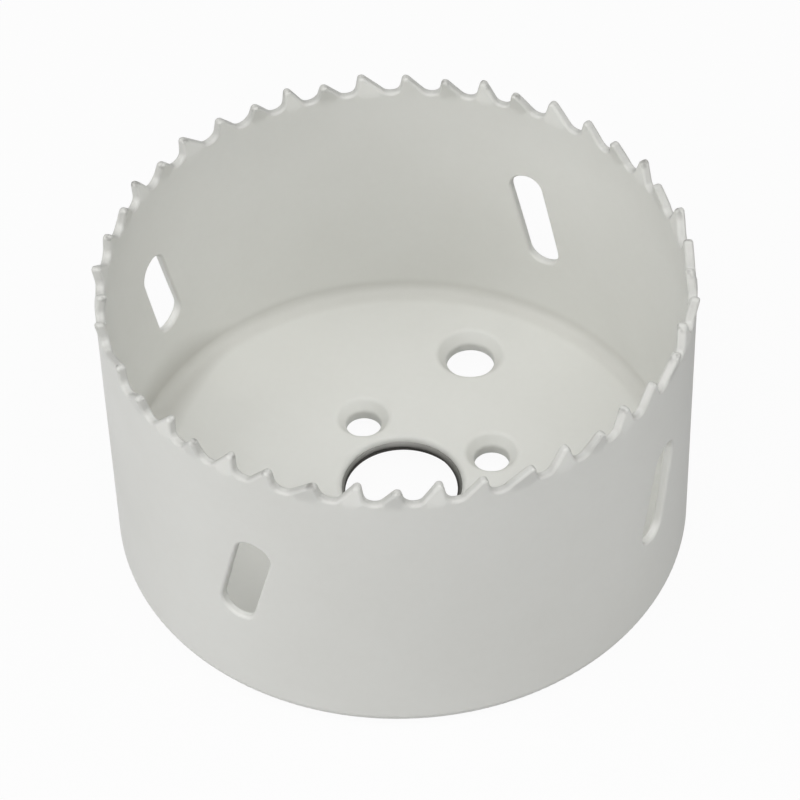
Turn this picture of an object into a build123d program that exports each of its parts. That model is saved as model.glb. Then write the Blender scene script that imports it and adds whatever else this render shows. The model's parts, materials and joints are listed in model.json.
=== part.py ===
from build123d import *
import os
from math import cos, degrees, pi, radians, sin, tan

# Hole saw for a 76 mm hole, standing on its back with the teeth up.
# It is two pieces: a strip rolled into the toothed wall, and the back plate welded inside it.
# The origin is on the axis, in the plane that the saw stands on. Lengths are in millimetres,
# and azimuths are in degrees, anticlockwise from +X as seen from the teeth.

# Wall
cut_diameter = 76.0
overall_height = 43.0
wall_thickness = 1.25
bend_outer_radius = 1.85
bend_flats = 3
lip_width = 4.2

# Teeth
tooth_depth = 2.6
tooth_set = 0.5
set_line_rise = 0.25
rake_lean = 12.0
crest_length = 0.6
crest_relief = 13.0
crest_back_radius = 0.9
gullet_floor = 1.6
gullet_radius = 1.1

# One group of teeth, clockwise: the pitch that leads to each tooth, and the side it is set to
group_pitches = (5.27, 5.01, 4.75, 5.14, 5.83)
group_sides = (-1, 1, -1, 1, 0)
first_tooth_in_group = 1
first_tooth_azimuth = 224.0
smallest_join_space = 4.5

# Slots through the wall, each leaning with its upper end anticlockwise
slot_count = 4
slot_width = 5.0
slot_length = 14.8
slot_corner_radius = 1.9
slot_height = 21.9
slot_lean = 15.0

# Back plate and its weld bead
plate_thickness = 3.2
plate_edge_chamfer = 0.8
bead_width = 2.0
bead_height = 1.65

# Holes in the back plate
thread_diameter = 15.875
thread_edge_chamfer = 0.3
pin_circle_diameter = 26.0
pin_hole_count = 4
pin_hole_diameter = 4.7
pin_mouth_diameter = 7.1
pin_azimuth = 53.7
knockout_circle_diameter = 51.0
knockout_count = 2
knockout_diameter = 6.5
knockout_mouth_diameter = 9.1
knockout_azimuth = 98.7
dimple_angle = 82.0

# Sizes that follow
wall_outer_radius = cut_diameter / 2 - tooth_set
wall_inner_radius = wall_outer_radius - wall_thickness
wall_middle_radius = wall_outer_radius - wall_thickness / 2
strip_length = 2 * pi * wall_middle_radius
gullet_height = overall_height - tooth_depth
set_line_height = gullet_height + set_line_rise
floor_height = wall_thickness + plate_thickness
cutter_rise = tooth_depth / 3
rake_run = tooth_depth * tan(radians(rake_lean))


def radial_plane(azimuth):
    """A plane that holds the axis, with x pointing outwards and y up."""
    turn = radians(azimuth)
    return Plane(origin=(0, 0, 0), x_dir=(cos(turn), sin(turn), 0), z_dir=(sin(turn), -cos(turn), 0))


def facing_plane(azimuth):
    """A plane inside the wall that faces outwards, with x anticlockwise and y up."""
    turn = radians(azimuth)
    radius = wall_inner_radius - 2 * tooth_set
    return Plane(
        origin=(radius * cos(turn), radius * sin(turn), 0),
        x_dir=(-sin(turn), cos(turn), 0),
        z_dir=(cos(turn), sin(turn), 0),
    )


def strip_angle(length):
    """The angle that a length along the rolled strip takes up."""
    return degrees(length / wall_middle_radius)


def lay_out_teeth():
    """Each tooth's azimuth, its side, and the pitch to the next one, clockwise from the join."""
    places = []
    sides = []
    place = 0.0
    number = first_tooth_in_group
    while place <= strip_length - smallest_join_space:
        places.append(place)
        sides.append(group_sides[number % len(group_sides)])
        number += 1
        place += group_pitches[number % len(group_pitches)]
    ends = places[1:] + [strip_length]
    return [
        (first_tooth_azimuth - strip_angle(place), side, end - place)
        for place, side, end in zip(places, sides, ends)
    ]


teeth = lay_out_teeth()

# The wall is the strip turned in at its lower edge, so that the plate has a lip to sit on.
with BuildPart() as toothed_wall:
    # Above the set line each tooth's stretch leans in, leans out or stands straight.
    # A stretch runs from the middle of one gullet's floor to the middle of the next.
    blank_height = overall_height + cutter_rise
    lean_scale = (blank_height - set_line_height) / (overall_height - set_line_height)
    for azimuth, side, pitch in teeth:
        lean = side * tooth_set * lean_scale
        start = azimuth + strip_angle(rake_run + gullet_floor / 2 - pitch)
        with BuildSketch(radial_plane(start)):
            with BuildLine():
                Polyline(
                    (wall_inner_radius, set_line_height),
                    (wall_outer_radius, set_line_height),
                    (wall_outer_radius + lean, blank_height),
                    (wall_inner_radius + lean, blank_height),
                    close=True,
                )
            make_face()
        revolve(axis=Axis.Z, revolution_arc=strip_angle(pitch))

    # Below it, the section runs down the wall, round the bend in a few flats and in along the lip.
    with BuildSketch(Plane.XZ) as wall_section:
        with BuildLine():
            bend = JernArc(
                start=(wall_outer_radius - bend_outer_radius, 0),
                tangent=(1, 0),
                radius=bend_outer_radius,
                arc_size=90,
                mode=Mode.PRIVATE,
            )
            Polyline(
                (wall_outer_radius - lip_width, 0),
                *[bend @ (step / bend_flats) for step in range(bend_flats + 1)],
                (wall_outer_radius, set_line_height),
                (wall_inner_radius, set_line_height),
                (wall_inner_radius, wall_thickness),
                (wall_outer_radius - lip_width, wall_thickness),
                close=True,
            )
        make_face()
        inner_corner = wall_section.vertices().sort_by_distance((wall_inner_radius, wall_thickness))[0]
        chamfer(inner_corner, bend_outer_radius - wall_thickness)
    revolve(axis=Axis.Z)

    # Each gullet: a steep rake face, a flat floor, and the long relief flank of the tooth ahead.
    for azimuth, side, pitch in teeth:
        crest_drop = crest_length * tan(radians(crest_relief))
        with BuildSketch(facing_plane(azimuth - strip_angle(pitch / 2))) as gullet:
            rake_foot = (-pitch / 2 + rake_run, gullet_height)
            floor_end = (-pitch / 2 + rake_run + gullet_floor, gullet_height)
            crest_back = (pitch / 2 - crest_length, overall_height - crest_drop)
            with BuildLine():
                Polyline(
                    (-pitch / 2 - cutter_rise * tan(radians(rake_lean)), blank_height),
                    rake_foot,
                    floor_end,
                    crest_back,
                    (pitch / 2 + crest_length, overall_height + crest_drop),
                    (pitch / 2 + crest_length, blank_height),
                    close=True,
                )
            make_face()
            fillet(gullet.vertices().sort_by_distance(rake_foot)[0], gullet_radius)
            fillet(gullet.vertices().sort_by_distance(floor_end)[0], gullet_radius)
            fillet(gullet.vertices().sort_by_distance(crest_back)[0], crest_back_radius)
    extrude(amount=wall_thickness + 4 * tooth_set, mode=Mode.SUBTRACT)

    for number in range(slot_count):
        with BuildSketch(facing_plane(number * 360 / slot_count)):
            with Locations((0, slot_height)):
                RectangleRounded(slot_width, slot_length, slot_corner_radius, rotation=-slot_lean)
    extrude(amount=wall_thickness + 4 * tooth_set, mode=Mode.SUBTRACT)

# The plate lies on the lip, and its bead runs up the wall all round.
with BuildPart() as back_plate:
    with BuildSketch(Plane.XZ) as plate_section:
        with BuildLine():
            Polyline(
                (0, wall_thickness),
                (wall_inner_radius, wall_thickness),
                (wall_inner_radius, floor_height + bead_height),
                (wall_inner_radius - bead_width, floor_height),
                (0, floor_height),
                close=True,
            )
        make_face()
        lower_edge = plate_section.vertices().sort_by_distance((wall_inner_radius, wall_thickness))[0]
        chamfer(lower_edge, plate_edge_chamfer)
    revolve(axis=Axis.Z)

    with Locations((0, 0, floor_height)):
        Hole(thread_diameter / 2)
        with PolarLocations(pin_circle_diameter / 2, pin_hole_count, start_angle=pin_azimuth):
            CounterSinkHole(pin_hole_diameter / 2, pin_mouth_diameter / 2, counter_sink_angle=dimple_angle)
        with PolarLocations(knockout_circle_diameter / 2, knockout_count, start_angle=knockout_azimuth):
            CounterSinkHole(
                knockout_diameter / 2, knockout_mouth_diameter / 2, counter_sink_angle=dimple_angle
            )

    flats = back_plate.faces().filter_by(Axis.Z).sort_by(Axis.Z)
    thread_edges = [flat.inner_wires().edges().sort_by(SortBy.RADIUS)[-1] for flat in (flats[0], flats[-1])]
    chamfer(thread_edges, thread_edge_chamfer)

toothed_wall.part.label = "toothed_wall"
back_plate.part.label = "back_plate"

os.makedirs("parts", exist_ok=True)
export_step(toothed_wall.part, "parts/toothed_wall.step")
export_step(back_plate.part, "parts/back_plate.step")
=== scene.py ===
import json
import math
from functools import partial

import bpy
import numpy as np
from mathutils import Matrix, Vector
from mathutils.geometry import delaunay_2d_cdt


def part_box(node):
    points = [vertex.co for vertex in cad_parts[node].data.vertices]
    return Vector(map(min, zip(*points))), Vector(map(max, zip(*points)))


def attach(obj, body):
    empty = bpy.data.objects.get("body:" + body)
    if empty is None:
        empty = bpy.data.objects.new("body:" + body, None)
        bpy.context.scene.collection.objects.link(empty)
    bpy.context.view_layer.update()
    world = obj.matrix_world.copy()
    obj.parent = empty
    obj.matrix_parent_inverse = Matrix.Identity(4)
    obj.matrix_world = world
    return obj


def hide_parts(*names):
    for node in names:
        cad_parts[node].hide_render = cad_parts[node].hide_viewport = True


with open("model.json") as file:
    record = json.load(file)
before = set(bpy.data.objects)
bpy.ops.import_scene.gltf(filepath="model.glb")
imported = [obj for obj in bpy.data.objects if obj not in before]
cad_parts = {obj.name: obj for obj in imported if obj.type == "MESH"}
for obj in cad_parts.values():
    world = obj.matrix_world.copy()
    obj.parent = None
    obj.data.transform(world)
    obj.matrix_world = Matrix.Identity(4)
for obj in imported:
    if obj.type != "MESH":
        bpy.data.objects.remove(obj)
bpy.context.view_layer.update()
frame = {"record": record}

bl_info = {
    "name": "Hole Saw",
    "version": (1, 0, 0),
    "blender": (4, 5, 0),
    "location": "3D View > Sidebar > Hole Saw",
    "description": "Builds a painted hole saw with set teeth, leaning slots and a threaded back plate",
    "category": "Add Mesh",
}

MM = 0.001
PLATE_LOW, PLATE_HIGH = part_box("back_plate")
MOUNTS = {mount["name"]: mount["dims"] for mount in frame["record"]["mounts"]}
WALL_INNER_RADIUS = (PLATE_HIGH.x - PLATE_LOW.x) / 2
FLOOR_HEIGHT = 4.45 * MM  # the plate's top face above the back; above it there is only the weld bead

# How finely the meshes are made
ARC_STEP = math.radians(13)  # largest turn between two points of a rounding
EDGE_SPACING = 0.6  # spacing of points along a cut edge, as a share of a column's width
EDGE_SWINGS = (0, 22.5, 45, 67.5, 90)  # places of the rows over a cut edge's rounding, in degrees
LIP_ROWS = (0.4, 0.75)  # places of the rows on the lip, as shares of the way to the bend
BEND_STEPS = 8
WALL_ROWS = 16
SET_LINE_POINTS = 4  # points on the set line to each column
GULLET_SPACE = 0.9 * MM  # from the wall's highest row to the gullets
SEAM_SPACE = 0.3 * MM  # from a seam's end point to the edges
ROW_SPACE, SET_LINE_SPACE = 0.45 * MM, 0.12 * MM  # least space between an inner point and a cut edge
WELD = 0.0001 * MM  # points this close are one
PLATE_STEPS = 192  # round the plate's rim
HOLE_STEPS = 72
BORE_STEPS = 180  # the bore's wall and the thread in it have the same corners, so neither cuts the other
BEAD_STEPS = 12
THREAD_ROWS = 28  # to each pitch
THREAD_CLEARANCE = 0.02 * MM  # between the thread's ring and the bore's wall
THREAD_BLEND = 0.2 * MM  # over which the thread runs out into its entry chamfers

CHAMFER_ROUNDING = 0.2 * MM  # where a hole's chamfer meets the underside
SHADE_HEAVY_SIDE = 27 * MM, 34 * MM  # from the axis, where the painted shade on its heavy side starts and is full

# How bare of paint a cut edge is, which also sets how much painted shade its rounding gets: the teeth are
# rubbed, the slots and the lip are not
TOOTH_BARENESS, QUIET_BARENESS = 1.0, 0.25

LengthProperty = partial(bpy.props.FloatProperty, unit="LENGTH", precision=5)
AngleProperty = partial(bpy.props.FloatProperty, subtype="ANGLE")
PowerProperty = partial(bpy.props.FloatProperty, unit="POWER", min=0)
ColourProperty = partial(bpy.props.FloatVectorProperty, subtype="COLOR", size=3, min=0, max=1)


# Settings

class WallSettings(bpy.types.PropertyGroup):
    """Sizes of the toothed wall, which is a flat strip with a turned-in lip before it is rolled up"""

    inner_radius: LengthProperty(
        name="Inside Radius", description="Radius of the wall's inside face",
        default=WALL_INNER_RADIUS)
    thickness: LengthProperty(name="Thickness", description="Thickness of the strip", default=1.25 * MM)
    height: LengthProperty(
        name="Height", description="Height of the tooth tips above the back", default=43.0 * MM)
    bend_radius: LengthProperty(
        name="Bend Radius", description="Outside radius of the bend at the back edge",
        default=1.85 * MM)
    lip_width: LengthProperty(
        name="Lip Width", description="How far the turned-in lip reaches in from the wall's outside",
        default=4.2 * MM)
    edge_radius: LengthProperty(
        name="Edge Radius", description="Rounding that the paint gives to every cut edge",
        default=0.42 * MM)
    columns: bpy.props.IntProperty(
        name="Columns", description="Mesh columns round the wall", default=200, min=60)


class ToothSettings(bpy.types.PropertyGroup):
    """Sizes of the teeth and of the order they stand in"""

    depth: LengthProperty(name="Depth", description="Depth of the gullets", default=2.6 * MM)
    set_out: LengthProperty(
        name="Set", description="How far a set tooth leans in or out at its tip", default=0.5 * MM)
    set_rise: LengthProperty(
        name="Set Line Rise", description="Height above the gullet floor where a tooth starts to lean",
        default=0.25 * MM)
    rake_lean: AngleProperty(
        name="Rake Lean", description="Lean of the rake face from upright", default=math.radians(12))
    crest_length: LengthProperty(
        name="Crest Length", description="Length of the land behind a tip", default=0.75 * MM)
    crest_relief: AngleProperty(
        name="Crest Relief", description="Fall of the land behind a tip", default=math.radians(13))
    crest_back_radius: LengthProperty(
        name="Crest Back Radius", description="Rounding where the land meets the relief flank",
        default=0.6 * MM)
    gullet_floor: LengthProperty(
        name="Gullet Floor",
        description="Length of the flat between the gullet's roundings, from corner to corner",
        default=1.65 * MM)
    gullet_radius: LengthProperty(
        name="Gullet Radius", description="Rounding at each end of the gullet floor", default=1.2 * MM)
    tip_radius: LengthProperty(
        name="Tip Radius", description="Rounding of a painted tip", default=0.5 * MM)
    pitches: bpy.props.FloatVectorProperty(
        name="Pitches", description="Clockwise distances that lead to the teeth of one group",
        default=(5.27 * MM, 5.01 * MM, 4.75 * MM, 5.14 * MM, 5.83 * MM), size=5, unit="LENGTH",
        precision=5)
    sides: bpy.props.IntVectorProperty(
        name="Sides", description="Side that each tooth of a group leans to: -1 in, 1 out, 0 straight",
        default=(-1, 1, -1, 1, 0), size=5)
    first_in_group: bpy.props.IntProperty(
        name="First In Group", description="Place in the group of the first tooth after the join",
        default=1, min=0)
    first_azimuth: AngleProperty(
        name="First Azimuth", description="Direction of the first tooth after the join",
        default=math.radians(224))
    smallest_join_space: LengthProperty(
        name="Smallest Join Space", description="Least pitch left between the last tooth and the first",
        default=4.5 * MM)


class SlotSettings(bpy.types.PropertyGroup):
    """Sizes of the leaning slots through the wall"""

    count: bpy.props.IntProperty(name="Count", description="Slots round the wall", default=4, min=1)
    width: LengthProperty(
        name="Width", description="Width of a slot between its coats of paint", default=4.65 * MM)
    length: LengthProperty(
        name="Length", description="Length of a slot between its coats of paint", default=14.6 * MM)
    corner_radius: LengthProperty(
        name="Corner Radius", description="Radius of a slot's corners", default=2.15 * MM)
    height: LengthProperty(
        name="Height", description="Height of a slot's middle above the back", default=21.9 * MM)
    lean: AngleProperty(
        name="Lean", description="Lean of a slot from upright, its top end anticlockwise",
        default=math.radians(15))


class PlateSettings(bpy.types.PropertyGroup):
    """Sizes of the back plate, its weld bead and its holes"""

    thickness: LengthProperty(name="Thickness", description="Thickness of the plate", default=3.2 * MM)
    edge_chamfer: LengthProperty(
        name="Edge Chamfer", description="Chamfer that clears the wall's inside bend", default=0.8 * MM)
    bead_width: LengthProperty(
        name="Bead Width", description="Reach of the weld bead over the plate", default=2.0 * MM)
    bead_height: LengthProperty(
        name="Bead Height", description="Reach of the weld bead up the wall",
        default=PLATE_HIGH.z - FLOOR_HEIGHT)
    thread_radius: LengthProperty(
        name="Thread Radius", description="Radius of the arbor thread at its roots",
        default=MOUNTS["arbor_thread"]["r_mm"] * MM)
    pin_count: bpy.props.IntProperty(name="Pin Holes", description="Drive pin holes", default=4, min=1)
    pin_circle: LengthProperty(
        name="Pin Circle", description="Radius of the circle that the drive pin holes stand on",
        default=MOUNTS["drive_pin_holes"]["pcd_mm"] / 2 * MM)
    pin_radius: LengthProperty(
        name="Pin Hole Radius", description="Radius of a drive pin hole",
        default=MOUNTS["drive_pin_holes"]["hole_r_mm"] * MM)
    pin_mouth: LengthProperty(
        name="Pin Mouth Radius", description="Radius of a drive pin hole's dimple", default=3.55 * MM)
    pin_azimuth: AngleProperty(
        name="Pin Azimuth", description="Direction of the first drive pin hole",
        default=math.radians(53.7))
    knockout_count: bpy.props.IntProperty(
        name="Knock-out Holes", description="Knock-out holes", default=2, min=1)
    knockout_circle: LengthProperty(
        name="Knock-out Circle", description="Radius of the circle that the knock-out holes stand on",
        default=25.5 * MM)
    knockout_radius: LengthProperty(
        name="Knock-out Radius", description="Radius of a knock-out hole", default=3.25 * MM)
    knockout_mouth: LengthProperty(
        name="Knock-out Mouth Radius", description="Radius of a knock-out hole's dimple",
        default=4.55 * MM)
    knockout_azimuth: AngleProperty(
        name="Knock-out Azimuth", description="Direction of the first knock-out hole",
        default=math.radians(98.7))
    dimple_angle: AngleProperty(
        name="Dimple Angle", description="Full angle of a dimple's cone", default=math.radians(82))
    mouth_rounding: LengthProperty(
        name="Mouth Rounding", description="Rounding of a dimple's mouth", default=1.0 * MM)
    throat_rounding: LengthProperty(
        name="Throat Rounding", description="Rounding where a dimple's cone meets its hole",
        default=0.8 * MM)
    hole_chamfer: LengthProperty(
        name="Hole Chamfer", description="Chamfer of a dimpled hole on the underside", default=0.5 * MM)
    bead_toe: LengthProperty(
        name="Bead Toe", description="Flat ring round the bead's foot", default=0.5 * MM)
    bore_rounding: LengthProperty(
        name="Bore Rounding", description="Rounding of the bore's mouth", default=0.85 * MM)
    bore_chamfer: LengthProperty(
        name="Bore Chamfer", description="Chamfer of the bore on the underside", default=0.9 * MM)


class ThreadSettings(bpy.types.PropertyGroup):
    """Sizes of the arbor thread in the middle of the back plate"""

    pitch: LengthProperty(
        name="Pitch", description="Distance between neighbouring threads", default=25.4 / 18 * MM)
    crest_radius: LengthProperty(
        name="Crest Radius", description="Radius at the thread's crests", default=7.34 * MM)
    land: bpy.props.FloatProperty(
        name="Land", description="Share of the pitch that a crest or a root stays flat", default=1 / 7,
        min=0, max=0.5)
    entry: LengthProperty(
        name="Entry", description="Depth of the chamfer at each end", default=0.55 * MM)


class PaintSettings(bpy.types.PropertyGroup):
    """Colours and surface of the paint and of the bare thread, and the painted shade on the cut edges, in the
    inner corner and down the bore
    """

    colour: ColourProperty(
        name="Paint", description="Main colour of the satin paint", default=(0.737, 0.74, 0.71))
    dusty_colour: ColourProperty(
        name="Uneven Paint", description="Colour that the paint drifts towards in broad patches",
        default=(0.69, 0.69, 0.655))
    # Thin paint on the cut edges, set darker than the paint as painted shade, which keeps the rounded rims
    # from lighting brighter than the wall
    thin_paint_shade_colour: ColourProperty(
        name="Thin Paint", description="Colour where the paint is thin on the cut edges",
        default=(0.55, 0.55, 0.525))
    roughness: bpy.props.FloatProperty(
        name="Roughness", description="Roughness of the satin paint", default=0.48, min=0, max=1)
    peel_size: LengthProperty(
        name="Peel Size", description="Distance between the small swells in the paint",
        default=0.7 * MM)
    # Painted shade in the inner corner over the weld bead: the colour that it darkens the paint towards, and
    # how near, how far and how strongly it darkens, furthest on its heavy side
    corner_shade_colour: ColourProperty(
        name="Corner Shade", description="Colour of the thin, dusty paint over the weld bead",
        default=(0.50, 0.495, 0.46))
    shade_core: LengthProperty(
        name="Dust Core", description="Distance from the inner corner within which the dust is full",
        default=0.7 * MM)
    shade_reach: LengthProperty(
        name="Dust Reach", description="Distance from the inner corner at which the dust ends",
        default=2.7 * MM)
    shade_extra: LengthProperty(
        name="Extra Dust Reach", description="How much further the dust reaches on its heavy side",
        default=5.0 * MM)
    shade_strength: bpy.props.FloatProperty(
        name="Dust Strength", description="Strength of the dust away from its heavy side", default=0.7,
        min=0, max=1)
    shade_azimuth: AngleProperty(
        name="Dust Azimuth",
        description="Side of the inner corner where the dusty paint reaches furthest",
        default=math.radians(200))
    worn_height: LengthProperty(
        name="Worn Height", description="Height above the back at which the tips start to be worn",
        default=42.0 * MM)
    tip_colour: ColourProperty(
        name="Worn Tip", description="Colour of the steel where a tip has lost its paint",
        default=(0.24, 0.235, 0.22))
    # Painted shade in the bore: the thread is near-black bare steel, and the paint tone above it fades into
    # that over the overspray depth
    bare_steel_shade_colour: ColourProperty(
        name="Thread", description="Colour of the bare steel thread", default=(0.045, 0.043, 0.04))
    overspray_shade_depth: LengthProperty(
        name="Overspray", description="How far down the thread the last of the paint reaches",
        default=1.3 * MM)


class StageSettings(bpy.types.PropertyGroup):
    """Camera, floor and light"""

    azimuth: AngleProperty(
        name="Azimuth", description="Direction of the camera round the saw", default=math.radians(31.5))
    elevation: AngleProperty(
        name="Elevation", description="Height of the camera above the floor, as an angle",
        default=math.radians(47.49))
    distance: LengthProperty(
        name="Distance", description="Distance from the camera to the middle of the back",
        default=468.0 * MM)
    lens: bpy.props.FloatProperty(
        name="Lens", description="Focal length in millimetres on a 36 mm sensor", default=158.56, min=1)
    pan: AngleProperty(
        name="Pan", description="Turn of the camera to the side of the saw's axis",
        default=math.radians(0.01))
    tilt: AngleProperty(
        name="Tilt", description="Turn of the camera above the middle of the back",
        default=math.radians(-1.695))
    roll: AngleProperty(
        name="Roll", description="Roll of the camera about its own line of sight",
        default=math.radians(-1.822))
    lamp_distance: LengthProperty(
        name="Lamp Distance", description="Distance of every lamp from the saw", default=0.8)
    lamp_size: LengthProperty(
        name="Lamp Size", description="Side of every square soft lamp", default=0.5)
    left_power: PowerProperty(
        name="Left Lamp", description="Power of the lamp high on the left", default=1.85)
    low_left_power: PowerProperty(
        name="Low Left Lamp", description="Power of the lamp low on the left", default=1.85)
    front_power: PowerProperty(
        name="Front Lamp", description="Power of the lamp above the camera", default=2.3)
    low_front_power: PowerProperty(
        name="Low Front Lamp", description="Power of the lamp below the camera", default=1.0)
    right_power: PowerProperty(
        name="Right Lamp", description="Power of the lamp high on the right", default=1.9)
    low_right_power: PowerProperty(
        name="Low Right Lamp", description="Power of the lamp low on the right", default=0.75)
    back_power: PowerProperty(
        name="Back Lamp", description="Power of the lamp high at the back", default=0.85)
    sky_strength: bpy.props.FloatProperty(
        name="Sky", description="Strength of the even light from all round", default=0.03, min=0)


# Helpers for nodes

class Nodes:
    """A node tree under construction, with short calls for the nodes that the trees here are made of"""

    def __init__(self, tree):
        self.tree = tree

    def add(self, kind, inputs=(), **settings):
        """A new node with its settings, and its inputs, by number or name, given values or sockets."""
        node = self.tree.nodes.new(kind)
        for name, value in settings.items():
            setattr(node, name, value)
        for key, value in dict(inputs).items():
            self.put(node.inputs[key], value)
        return node

    def put(self, socket, value):
        if isinstance(value, bpy.types.NodeSocket):
            self.tree.links.new(value, socket)
        else:
            socket.default_value = value

    def math(self, operation, a, b=0.0, c=0.0):
        """The result of one arithmetic node."""
        node = self.add("ShaderNodeMath", {0: a, 1: b, 2: c}, operation=operation)
        return node.outputs[0]

    def noise(self, place, scale, detail, roughness=0.5):
        """The value of a noise texture, from 0 to 1."""
        return self.add("ShaderNodeTexNoise", {
            "Vector": place, "Scale": scale, "Detail": detail, "Roughness": roughness}).outputs["Fac"]

    def remap(self, value, low, high, to_low=0.0, to_high=1.0, curve="LINEAR"):
        """A value carried over from one range to another, and held at its ends."""
        return self.add("ShaderNodeMapRange", {
            "Value": value, "From Min": low, "From Max": high, "To Min": to_low, "To Max": to_high,
        }, interpolation_type=curve).outputs[0]

    def blend(self, share, first, second):
        """A mix of two colours, each a socket or three numbers."""
        colours = {
            socket: colour if isinstance(colour, bpy.types.NodeSocket) else (*colour, 1)
            for socket, colour in ((6, first), (7, second))}
        mix = self.add("ShaderNodeMix", {"Factor": share, **colours}, data_type="RGBA", clamp_factor=True)
        return mix.outputs[2]

    def length(self, x, y):
        """The length of the flat vector with these two parts."""
        return self.math("SQRT", self.plus(self.times(x, x), self.times(y, y)))

    def plus(self, a, b):
        return self.math("ADD", a, b)

    def minus(self, a, b):
        return self.math("SUBTRACT", a, b)

    def times(self, a, b):
        return self.math("MULTIPLY", a, b)

    def over(self, a, b):
        return self.math("DIVIDE", a, b)

    def within(self, value, low, high):
        """The value, or the limit that it is past."""
        return self.math("MAXIMUM", self.math("MINIMUM", value, high), low)

    def split(self, vector):
        return self.add("ShaderNodeSeparateXYZ", {0: vector}).outputs

    def join(self, x, y, z):
        return self.add("ShaderNodeCombineXYZ", {0: x, 1: y, 2: z}).outputs[0]


def geometry_tree(name, labels):
    """A geometry tree with a mesh going in and out, a number input for each label and a material input."""
    tree = bpy.data.node_groups.new(name, "GeometryNodeTree")
    tree.interface.new_socket("Geometry", in_out="OUTPUT", socket_type="NodeSocketGeometry")
    tree.interface.new_socket("Geometry", in_out="INPUT", socket_type="NodeSocketGeometry")
    for label in labels:
        tree.interface.new_socket(label, in_out="INPUT", socket_type="NodeSocketFloat")
    tree.interface.new_socket("Material", in_out="INPUT", socket_type="NodeSocketMaterial")
    nodes = Nodes(tree)
    entry = nodes.add("NodeGroupInput")
    end = nodes.add("NodeGroupOutput")
    return nodes, entry, end


def finish_tree(nodes, entry, end, geometry, weld):
    """Welds the geometry's seams, realizes it, gives it the tree's material and leads it out."""
    joined = nodes.add("GeometryNodeMergeByDistance", {"Geometry": geometry, "Distance": weld})
    real = nodes.add("GeometryNodeRealizeInstances", {"Geometry": joined.outputs[0]})
    done = nodes.add("GeometryNodeSetMaterial", {
        "Geometry": real.outputs[0], "Material": entry.outputs["Material"]})
    nodes.put(end.inputs[0], done.outputs[0])


def run_tree(piece, nodes, values):
    """Evaluates the tree on a piece with the named values, and leaves the result as its plain mesh."""
    modifier = piece.modifiers.new(nodes.tree.name, "NODES")
    modifier.node_group = nodes.tree
    identifiers = {
        item.name: item.identifier for item in nodes.tree.interface.items_tree
        if item.item_type == "SOCKET" and item.in_out == "INPUT"
    }
    for label, value in values.items():
        modifier[identifiers[label]] = value
    piece.update_tag()
    bpy.context.view_layer.update()
    depsgraph = bpy.context.evaluated_depsgraph_get()
    made = bpy.data.meshes.new_from_object(
        piece.evaluated_get(depsgraph), preserve_all_data_layers=True, depsgraph=depsgraph)
    piece.modifiers.remove(modifier)
    piece.data = made
    made.name = piece.name
    if not made.polygons:
        raise RuntimeError(f"{piece.name} came out of its tree with no faces")


# Helpers for meshes

def mesh_piece(name, points, faces, values=(), labels=()):
    """A new object with these points and faces, and with the points' values stored under the labels."""
    mesh = bpy.data.meshes.new(name)
    mesh.from_pydata(points, [], faces)
    for label, column in zip(labels, zip(*values)):
        mesh.attributes.new(label, "FLOAT", "POINT").data.foreach_set("value", np.array(column, np.float32))
    mesh.update()
    piece = bpy.data.objects.new(name, mesh)
    bpy.context.scene.collection.objects.link(piece)
    return piece


class Shell:
    """Points with their smooth normals and values, and faces, gathered before they become a mesh"""

    def __init__(self):
        self.points, self.normals, self.values, self.faces = [], [], [], []

    def add(self, point, normal, *values):
        self.points.append(tuple(point))
        self.normals.append(tuple(normal))
        self.values.append(values)
        return len(self.points) - 1

    def piece(self, name, labels):
        """The gathered shell as a new object that carries its normals along as an attribute."""
        piece = mesh_piece(name, self.points, self.faces, self.values, labels)
        piece.data.attributes.new("smooth_normal", "FLOAT_VECTOR", "POINT").data.foreach_set(
            "vector", np.array(self.normals, np.float32).ravel())
        return piece

    def joined_piece(self, name, labels):
        """The gathered shell as a new object, closed where two of its rings lie on each other. Each face
        keeps the normals of its own rings, which leaves a sharp edge where two rings are joined."""
        numbers, spots, points, values = [], {}, [], []
        for point, value in zip(self.points, self.values):
            spot = tuple(round(c / WELD) for c in point)
            if spot not in spots:
                spots[spot] = len(points)
                points.append(point)
                values.append(value)
            numbers.append(spots[spot])
        faces, normals = [], []
        for face in self.faces:
            corners = [numbers[corner] for corner in face]
            if len(set(corners)) == len(corners):
                faces.append(corners)
                normals += [self.normals[corner] for corner in face]
        piece = mesh_piece(name, points, faces, values, labels)
        piece.data.shade_smooth()
        piece.data.normals_split_custom_set(normals)
        return piece


def settle_normals(piece):
    """Gives the mesh the smooth normals that it carries, and drops their attribute."""
    mesh = piece.data
    mesh.shade_smooth()
    carried = mesh.attributes["smooth_normal"]
    normals = np.zeros(len(mesh.vertices) * 3, np.float32)
    carried.data.foreach_get("vector", normals)
    normals = normals.reshape(-1, 3)
    normals /= np.linalg.norm(normals, axis=1, keepdims=True)
    mesh.normals_split_custom_set_from_vertices(normals.tolist())
    mesh.attributes.remove(mesh.attributes["smooth_normal"])


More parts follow.
